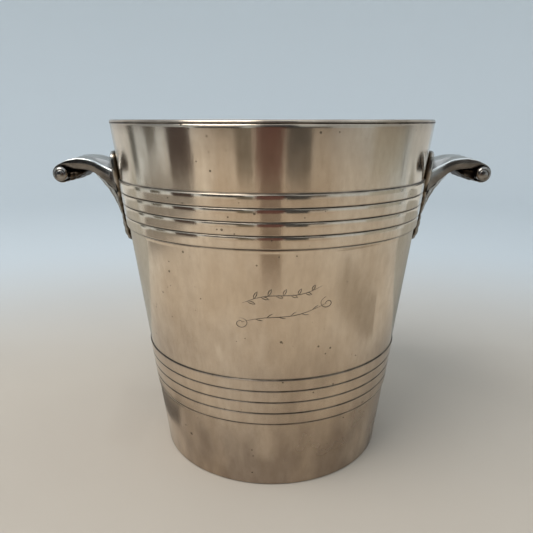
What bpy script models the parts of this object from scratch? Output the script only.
"""Silver-plated champagne bucket: a tapered spun body with two reeded bands and two cast scroll handles.

Metres, +Z up. The origin is the centre of the foot, on the table. The handles lie along X.
The handle is drawn once, on the +X side; the left one is the same set of pieces turned half a turn.
"""
import bpy
import bmesh
from math import cos, sin, pi, radians, sqrt

# ---- driving dimensions of the body ----
HEIGHT = 0.2100
RIM_RADIUS = 0.0980
FOOT_RADIUS = 0.0721
SHEET = 0.0013                 # thickness of the spun sheet
RIM_WIRE = 0.0026              # diameter of the wire that closes the lip
FOOT_WIRE = (0.0030, 0.0036)   # width and height of the strip inside the foot
BASE_LIFT = 0.0040             # underside of the base disc above the table
GAP = 0.0003                   # solder line between touching pieces
BODY_STEPS = 64

# ---- the two reeded bands: four beads between five grooves ----
UPPER_BAND = {"top": 0.1759, "pitch": 0.00695, "beads": 4,
              "bead": ((0.00, 0.0002), (0.10, 0.0009), (0.36, 0.0013), (0.90, 0.0010))}
LOWER_BAND = {"top": 0.0728, "pitch": 0.00728, "beads": 4,
              "bead": ((0.00, 0.0001), (0.12, 0.0006), (0.50, 0.0008), (0.88, 0.0006))}
BAND_EDGE = 0.0010             # height over which a band runs out into the plain wall

# ---- driving dimensions of a handle ----
SCROLL_CENTRE = (0.1282, 0.1782)   # X and Z of the scroll's axis, which runs along Y
SCROLL_RADIUS = 0.0053
STRAP_END = 0.0013                 # thickness of the strap where it wraps the scroll bar
BAR_RADIUS = SCROLL_RADIUS - STRAP_END - GAP - 0.0001
BAR_HALF = 0.0169
PLATE_BACK = 0.0016                # the plate bridges the beads at this distance from the plain wall
PLATE_EDGE = 0.0024                # thickness of the plate at its edge

# the plate's outline, tip to top: height, half width, extra relief along its middle
PLATE_STATIONS = (
    (0.1340, 0.0018, 0.0010),
    (0.1360, 0.0060, 0.0018),
    (0.1395, 0.0095, 0.0024),
    (0.1430, 0.0099, 0.0026),
    (0.1470, 0.0124, 0.0027),
    (0.1510, 0.0133, 0.0020),
    (0.1550, 0.0128, 0.0006),
    (0.1610, 0.0161, 0.0000),
    (0.1670, 0.0165, 0.0000),
    (0.1740, 0.0198, 0.0000),
    (0.1810, 0.0206, 0.0000),
    (0.1865, 0.0202, 0.0000),
    (0.1900, 0.0178, 0.0000),
    (0.1915, 0.0130, 0.0000),
)

# the arm from the plate to the crest: X, Z of its side edges, crown above them, side depth, half width
ARM_STATIONS = (
    (0.0987, 0.1806, 0.0056, 0.0125, 0.0188),
    (0.1010, 0.1815, 0.0050, 0.0098, 0.0178),
    (0.1045, 0.1834, 0.0038, 0.0076, 0.0172),
    (0.1090, 0.1857, 0.0026, 0.0066, 0.0170),
    (0.1140, 0.1869, 0.0017, 0.0061, 0.0170),
    (0.1190, 0.1873, 0.0010, 0.0062, 0.0168),
)
ARM_LEAN = 0.0090              # distance out from the plate in which the arm's slices become upright
# the curl round the scroll bar: angle above +X, distance of the outer face, thickness
CURL_STATIONS = (
    (128.0, 0.0107, 0.0058),
    (112.0, 0.0082, 0.0036),
    (92.0, 0.0063, 0.0020),
    (65.0, 0.0055, 0.0014),
    (20.0, SCROLL_RADIUS, STRAP_END),
    (-40.0, SCROLL_RADIUS, STRAP_END),
    (-100.0, SCROLL_RADIUS, STRAP_END),
)
CURL_CROWN = 0.0006
CURL_HALF = 0.0165

# the leaf in the corner under the arm: X and Z of its root line, X and Z of its keel, half width
BRACKET_STATIONS = (
    (0.0971, 0.1515, 0.0975, 0.1510, 0.0020),
    (0.0965, 0.1555, 0.0984, 0.1548, 0.0055),
    (0.0964, 0.1600, 0.1000, 0.1590, 0.0085),
    (0.0969, 0.1645, 0.1020, 0.1630, 0.0105),
    (0.0976, 0.1671, 0.1042, 0.1670, 0.0115),
    (0.1003, 0.1701, 0.1067, 0.1708, 0.0122),
    (0.1042, 0.1746, 0.1092, 0.1740, 0.0122),
    (0.1078, 0.1775, 0.1110, 0.1764, 0.0108),
    (0.1100, 0.1786, 0.1116, 0.1779, 0.0060),
)

# the leaf behind the curl, from the scroll towards the bucket: X, its bottom and top, half width
SCROLL_LEAF_STATIONS = (
    (0.1241, 0.1738, 0.1800, 0.0148),
    (0.1225, 0.1744, 0.1803, 0.0150),
    (0.1205, 0.1754, 0.1803, 0.0148),
    (0.1188, 0.1761, 0.1803, 0.0128),
    (0.1172, 0.1768, 0.1802, 0.0112),
    (0.1155, 0.1780, 0.1800, 0.0078),
    (0.1143, 0.1790, 0.1798, 0.0030),
)

# the button on each end of the scroll bar: radius, distance out along the axis
BUTTON_OUTLINE = (
    (0.0, 0.0031), (0.0015, 0.0029), (0.0026, 0.0022), (0.0029, 0.0014),
    (0.0036, 0.0016), (0.0043, 0.0008), (0.0043, 0.0), (0.0, 0.0),
)
BUTTON_STEPS = 20


# ---- helpers ----
def clear_scene():
    for thing in list(bpy.data.objects):
        bpy.data.objects.remove(thing, do_unlink=True)


def metal(name, colour, roughness):
    material = bpy.data.materials.new(name)
    material.use_nodes = True
    shader = material.node_tree.nodes["Principled BSDF"]
    shader.inputs["Base Color"].default_value = (*colour, 1.0)
    shader.inputs["Metallic"].default_value = 1.0
    shader.inputs["Roughness"].default_value = roughness
    return material


def add_piece(name, mesh, material, parent=None):
    """Put a mesh in the bucket's collection as one named piece, shaded smooth between its sharp edges."""
    mesh.materials.clear()
    mesh.materials.append(material)
    mesh.shade_smooth()
    mesh.set_sharp_from_angle(angle=radians(35))
    piece = bpy.data.objects.new(name, mesh)
    bucket.objects.link(piece)
    piece.parent = parent
    return piece


def outline_mesh(name, outline, closed):
    """The edges of a turned piece's outline, in the XZ plane."""
    mesh = bpy.data.meshes.new(name)
    edges = [(i, i + 1) for i in range(len(outline) - 1)]
    if closed:
        edges.append((len(outline) - 1, 0))
    mesh.from_pydata([(radius, 0.0, height) for radius, height in outline], edges, [])
    return mesh


def turn(piece, steps):
    """Spin the piece's outline about Z into a closed solid."""
    screw = piece.modifiers.new("turn", "SCREW")
    screw.axis = "Z"
    screw.angle = 2 * pi
    screw.steps = steps
    screw.render_steps = steps
    screw.use_merge_vertices = True
    screw.merge_threshold = 0.00001
    screw.use_smooth_shade = True


def blended(stations, per_span):
    """Rows between the stations, on a smooth curve through them."""
    rows = []
    last = len(stations) - 1
    for i in range(last):
        before, start = stations[max(i - 1, 0)], stations[i]
        end, after = stations[i + 1], stations[min(i + 2, last)]
        for step in range(per_span):
            t = step / per_span
            rows.append(tuple(
                0.5 * (2 * b + (c - a) * t + (2 * a - 5 * b + 4 * c - d) * t ** 2
                       + (3 * b - a - 3 * c + d) * t ** 3)
                for a, b, c, d in zip(before, start, end, after)))
    rows.append(tuple(stations[last]))
    return rows


def lofted_mesh(name, rings):
    """A closed skin over rings of points; each ring runs along one face and back along the other."""
    work = bmesh.new()
    loops = [[work.verts.new(point) for point in ring] for ring in rings]
    for lower, upper in zip(loops, loops[1:]):
        for i in range(len(lower)):
            j = (i + 1) % len(lower)
            work.faces.new((lower[i], lower[j], upper[j], upper[i]))
    for end in (loops[0], loops[-1]):
        for i in range(len(end) // 2 - 1):
            work.faces.new((end[i], end[i + 1], end[-i - 2], end[-i - 1]))
    bmesh.ops.recalc_face_normals(work, faces=work.faces)
    mesh = bpy.data.meshes.new(name)
    work.to_mesh(mesh)
    work.free()
    return mesh


def across(half_width, count):
    """Evenly spaced Y positions from one side of a handle section to the other."""
    return [half_width * (2 * i / (count - 1) - 1) for i in range(count)]


# ---- body ----
def wall_radius(z):
    """Outer radius of the plain, unreeded wall at height z."""
    return FOOT_RADIUS + (RIM_RADIUS - FOOT_RADIUS) * z / HEIGHT


def band_outline(band):
    """The outer outline of one reeded band, top to bottom."""
    points = [(wall_radius(band["top"] + BAND_EDGE), band["top"] + BAND_EDGE)]
    for bead in range(band["beads"]):
        for share, proud in band["bead"]:
            z = band["top"] - (bead + share) * band["pitch"]
            points.append((wall_radius(z) + proud, z))
    foot = band["top"] - band["beads"] * band["pitch"]
    points.append((wall_radius(foot) + band["bead"][0][1], foot))
    points.append((wall_radius(foot - BAND_EDGE), foot - BAND_EDGE))
    return points


def wall_outline():
    """The spun wall's whole section: down the outside, round the foot and up the inside."""
    top = HEIGHT - RIM_WIRE - GAP
    outside = [(wall_radius(top), top)]
    outside += band_outline(UPPER_BAND)
    middle = (UPPER_BAND["top"] + LOWER_BAND["top"]) / 2
    outside.append((wall_radius(middle), middle))
    outside += band_outline(LOWER_BAND)
    outside += [(wall_radius(0.0220), 0.0220), (wall_radius(0.0006), 0.0006), (FOOT_RADIUS - 0.0006, 0.0)]
    inside = [(wall_radius(z) - SHEET, z) for z in (0.0, 0.0700, 0.1400, top)]
    return outside + inside


def base_outline():
    """The base disc: out along its top, down its bevelled edge and back underneath."""
    edge = wall_radius(BASE_LIFT) - SHEET - GAP
    return [
        (0.0, BASE_LIFT + SHEET),
        (edge, BASE_LIFT + SHEET),
        (edge, BASE_LIFT + SHEET / 2),
        (edge - SHEET / 2, BASE_LIFT),
        (0.0, BASE_LIFT),
    ]


def foot_wire_outline():
    width, height = FOOT_WIRE
    return [
        (wall_radius(height) - SHEET - GAP, height),
        (wall_radius(0.0) - SHEET - GAP, 0.0),
        (wall_radius(0.0) - SHEET - GAP - width, 0.0),
        (wall_radius(0.0) - SHEET - GAP - width, height),
    ]


def rim_wire_outline(sides=10):
    """A round wire on top of the wall, flush with its outer face."""
    radius = RIM_WIRE / 2
    centre = (RIM_RADIUS - radius, HEIGHT - radius)
    turns = [pi / 2 - 2 * pi * i / sides for i in range(sides)]
    return [(centre[0] + radius * cos(a), centre[1] + radius * sin(a)) for a in turns]


def build_body(silver):
    for name, outline, closed in (
            ("bucket_wall", wall_outline(), True),
            ("base_disc", base_outline(), False),
            ("foot_wire", foot_wire_outline(), True),
            ("rim_wire", rim_wire_outline(), True)):
        turn(add_piece(name, outline_mesh(name, outline, closed), silver), BODY_STEPS)


# ---- handle ----
def plate_face(y, z, relief=0.0):
    """X of the plate's outer face at a point, with the relief of its leaf added."""
    return sqrt((wall_radius(z) + PLATE_BACK + PLATE_EDGE + relief) ** 2 - y * y)


def plate_back(y, z):
    return sqrt((wall_radius(z) + PLATE_BACK) ** 2 - y * y)


def back_plate_mesh():
    """Lobed leaf-shaped plate that follows the wall, built as level slices from its tip to its top."""
    rings = []
    for z, half, relief in blended(PLATE_STATIONS, 2):
        rows = across(half, 9)
        front = [(plate_face(y, z, relief * (1 - (y / half) ** 2)), y, z) for y in rows]
        back = [(plate_back(y, z), y, z) for y in reversed(rows)]
        rings.append(front + back)
    return lofted_mesh("back_plate", rings)


def arm_section(edge, down, half, crown, depth, count=9):
    """One slice of the arm: crowned on top, with straight sides and a flat underside."""
    top, bottom = [], []
    for y in across(half, count):
        rise = crown * (1 - (y / half) ** 2)
        top.append((edge[0] - down[0] * rise, y, edge[1] - down[1] * rise))
        bottom.append((edge[0] + down[0] * depth, y * 0.94, edge[1] + down[1] * depth))
    return top + bottom[::-1]


def arm_mesh():
    """The strap: upright slices from the plate to the crest, then slices square to the scroll's axis."""
    rings = []
    root_x = plate_face(0.0, ARM_STATIONS[0][1]) + GAP
    for x, z, crown, depth, half in blended(ARM_STATIONS, 2):
        lean = max(0.0, 1 - (x - ARM_STATIONS[0][0]) / ARM_LEAN)
        slice_x = max(x, root_x)
        rings.append([
            (slice_x + lean * (plate_face(y, height) + GAP - root_x), y, height)
            for _, y, height in arm_section((x, z), (0.0, -1.0), half, crown, depth)])
    for degrees, reach, thick in blended(CURL_STATIONS, 3):
        out = (cos(radians(degrees)), sin(radians(degrees)))
        edge = (SCROLL_CENTRE[0] + reach * out[0], SCROLL_CENTRE[1] + reach * out[1])
        rings.append(arm_section(edge, (-out[0], -out[1]), CURL_HALF, CURL_CROWN, thick))
    return lofted_mesh("handle_arm", rings)


def bracket_leaf_mesh():
    """The keeled leaf that fills the corner between the arm's underside and the plate."""
    rings = []
    for root_x, root_z, keel_x, keel_z, half in blended(BRACKET_STATIONS, 2):
        rows = across(half, 7)
        keel = []
        for y in rows:
            share = 0.12 + 0.88 * (1 - (y / half) ** 2)
            keel.append((root_x + (keel_x - root_x) * share, y, root_z + (keel_z - root_z) * share))
        root = [(root_x, y, root_z) for y in reversed(rows)]
        rings.append(keel + root)
    return lofted_mesh("bracket_leaf", rings)


def scroll_leaf_mesh():
    """The small acanthus leaf that springs from the curl and points back at the bucket."""
    rings = []
    for x, low, high, half in blended(SCROLL_LEAF_STATIONS, 2):
        rows = across(half, 7)
        lower = [(x, y, low + 0.10 * (high - low) * (y / half) ** 2) for y in rows]
        upper = [(x, y, high) for y in reversed(rows)]
        rings.append(lower + upper)
    return lofted_mesh("scroll_leaf", rings)


def scroll_bar_outline():
    return [(0.0, BAR_HALF), (BAR_RADIUS, BAR_HALF), (BAR_RADIUS * 0.92, 0.0),
            (BAR_RADIUS, -BAR_HALF), (0.0, -BAR_HALF)]


def build_handle(side, turned_by, cast, meshes):
    """One handle's seven pieces under an empty at the bucket's centre."""
    frame = bpy.data.objects.new(side + "_handle_frame", None)
    bucket.objects.link(frame)
    frame.rotation_euler = (0.0, 0.0, turned_by)
    for name, mesh in meshes.items():
        add_piece(side + "_" + name, mesh, cast, frame)
    bar_mesh = outline_mesh("scroll_bar", scroll_bar_outline(), False)
    bar = add_piece(side + "_scroll_bar", bar_mesh, cast, frame)
    bar.location = (SCROLL_CENTRE[0], 0.0, SCROLL_CENTRE[1])
    bar.rotation_euler = (-pi / 2, 0.0, 0.0)
    turn(bar, BUTTON_STEPS)
    front = -1 if side == "right" else 1
    for end, way in (("front", front), ("rear", -front)):
        button_mesh = outline_mesh("button", BUTTON_OUTLINE, False)
        button = add_piece(side + "_" + end + "_button", button_mesh, cast, frame)
        button.location = (SCROLL_CENTRE[0], way * (BAR_HALF + GAP), SCROLL_CENTRE[1])
        button.rotation_euler = (-way * pi / 2, 0.0, 0.0)
        turn(button, BUTTON_STEPS)


# ---- the bucket ----
clear_scene()
bucket = bpy.data.collections.new("champagne_bucket")
bpy.context.scene.collection.children.link(bucket)
build_body(metal("silver_plate", (0.62, 0.56, 0.48), 0.18))
cast_metal = metal("cast_handle_silver", (0.36, 0.34, 0.33), 0.30)
handle_meshes = {
    "back_plate": back_plate_mesh(),
    "handle_arm": arm_mesh(),
    "bracket_leaf": bracket_leaf_mesh(),
    "scroll_leaf": scroll_leaf_mesh(),
}
build_handle("right", 0.0, cast_metal, handle_meshes)
build_handle("left", pi, cast_metal, handle_meshes)
bpy.context.view_layer.update()
